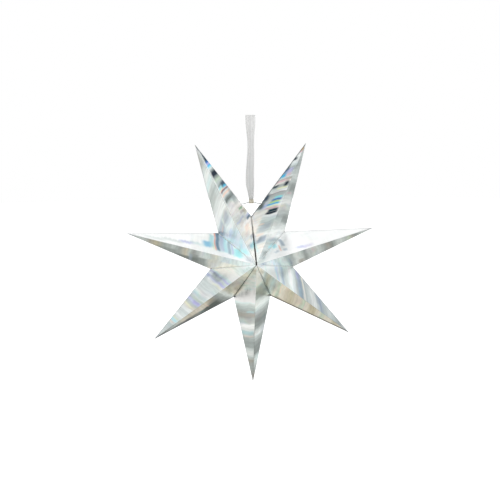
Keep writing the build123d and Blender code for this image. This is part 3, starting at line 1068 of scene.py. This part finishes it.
def ribbon_material():
    """Sheer grey-white organza: fine crossed threads, a satin sheen and a selvedge."""
    nodes = Surface("organza")
    place = nodes.add("UVMap", uv_map="cloth").outputs[0]
    across, along = nodes.split(place)[:2]
    warp = nodes.math("SINE", nodes.math("MULTIPLY", across, 2 * math.pi * WARP_THREADS))
    weft = nodes.math("SINE", nodes.math("MULTIPLY", along, 2 * math.pi * WEFT_THREADS))
    weave = nodes.math("MULTIPLY_ADD", nodes.math("MULTIPLY", warp, weft), 0.5, 0.5)
    slub = nodes.noise(nodes.vector(nodes.math("MULTIPLY", across, 40.0), along), 3.0, 3.0)
    slubs = nodes.ease(slub, 0.3, 0.7, 0.0, 0.5)
    tint = nodes.mix(slubs, colour("ribbon_grey"), colour("ribbon_pale"))
    fold = nodes.noise(nodes.vector(nodes.math("MULTIPLY", across, 4.0), along), 1.3, 1.0)
    tint = nodes.mix(nodes.ease(fold, 0.45, 0.62, 0.0, 0.8), tint, colour("ribbon_pale"))
    nodes.inputs["Sheen Weight"].default_value = 0.25
    nodes.inputs["Sheen Roughness"].default_value = 0.4
    edge = nodes.math("ABSOLUTE", nodes.math("MULTIPLY_ADD", across, 2.0, -1.0))
    thread_cover = nodes.ease(weave, 0.2, 0.9, 0.56, 0.64)
    selvedge_cover = nodes.ease(edge, 0.90, 0.97, 0.0, 0.15)
    nodes.put(nodes.inputs["Alpha"], nodes.math("ADD", thread_cover, selvedge_cover))
    return nodes.finish(tint, 0.55, nodes.bump(weave, 0.2, 0.00004))


def make_ribbon():
    points = []
    for i in range(RIBBON_STEPS + 1):
        for j in range(RIBBON_COLUMNS + 1):
            points.append(ribbon_point(i / RIBBON_STEPS, 2 * j / RIBBON_COLUMNS - 1))
    faces = strip_faces(RIBBON_STEPS, RIBBON_COLUMNS)
    piece = build_mesh("ribbon", points, [face[:1] + face[:0:-1] for face in faces])
    paint = piece.data.uv_layers.new(name="cloth")
    for loop in piece.data.loops:
        step, column = divmod(loop.vertex_index, RIBBON_COLUMNS + 1)
        paint.data[loop.index].uv = (column / RIBBON_COLUMNS, step / RIBBON_STEPS)
    thick = piece.modifiers.new("cloth", "SOLIDIFY")
    thick.thickness = RIBBON_CLOTH
    thick.offset = 0.0
    apply_modifiers(piece)
    piece.data.materials.append(ribbon_material())
    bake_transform(piece)
    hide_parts("ribbon_loop")


make_ribbon()

# ---- studio ----
FLOOR_DROP = 2.4  # from the lowest tip, so that the star can be seen from below too
FLOOR_RADIUS = 30.0
FLOOR_SIDES = 96
SKY = [  # from straight down to straight up
    (0.00, (0.90, 0.88, 0.84, 1.0)),
    (0.25, (0.96, 0.95, 0.92, 1.0)),
    (0.50, (1.02, 1.02, 1.02, 1.0)),
    (0.72, (1.02, 1.03, 1.04, 1.0)),
    (1.00, (1.00, 1.00, 1.00, 1.0)),
]


def stage_material():
    nodes = Surface("pale_floor")
    grain = nodes.noise(nodes.add("TexCoord").outputs["Object"], 3.0, 2.0)
    tint = nodes.mix(nodes.ease(grain, 0.3, 0.7), linear("FCFCFC"), linear("FFFFFF"))
    nodes.put(nodes.inputs["Emission Color"], tint)
    nodes.inputs["Emission Strength"].default_value = 0.35
    return nodes.finish(tint, 0.9)


def make_floor():
    """A wide pale floor, well below the star. The foil doesn't reflect it."""
    shape = bmesh.new()
    bmesh.ops.create_circle(shape, cap_ends=True, segments=FLOOR_SIDES, radius=FLOOR_RADIUS)
    mesh = bpy.data.meshes.new("floor")
    shape.to_mesh(mesh)
    shape.free()
    floor = add_object("floor", mesh)
    floor.location = (0, 0, STAR_CENTRE[2] - TIP_REACH - FLOOR_DROP)
    floor.visible_glossy = False
    mesh.materials.append(stage_material())


def make_world():
    """A white studio: bright overhead, a little dimmer and warmer from below."""
    world = bpy.data.worlds.new("studio")
    bpy.context.scene.world = world
    world.use_nodes = True
    world.node_tree.nodes.clear()
    nodes = Nodes(world.node_tree)
    upward = nodes.split(nodes.add("TexCoord").outputs["Generated"])[2]
    sky = nodes.ramp(nodes.fill(nodes.add("MapRange"), (upward, -1.0)), SKY)
    surroundings = nodes.fill(nodes.add("Background"), (sky,))
    backdrop = nodes.fill(nodes.add("Background"), ((1.0, 1.0, 1.0, 1.0),))
    seen = nodes.add("LightPath").outputs["Is Camera Ray"]
    either = nodes.fill(nodes.add("MixShader"), (seen, surroundings, backdrop))
    nodes.put(nodes.add("OutputWorld").inputs[0], either)


def make_softbox(name, place, size, power):
    """A large square light that faces the star."""
    data = bpy.data.lights.new(name, "AREA")
    data.shape = "SQUARE"
    data.size = size
    data.energy = power
    light = add_object(name, data)
    light.location = Vector(STAR_CENTRE) + Vector(place)
    light.rotation_mode = "QUATERNION"
    light.rotation_quaternion = (-Vector(place)).to_track_quat("-Z", "Y")


make_floor()
make_world()
make_softbox("overhead", (0.2, 0.5, 2.2), 1.6, 2.0)
make_softbox("left_fill", (-1.8, -1.4, 0.9), 1.2, 3.0)
bpy.context.scene.view_settings.view_transform = "Standard"
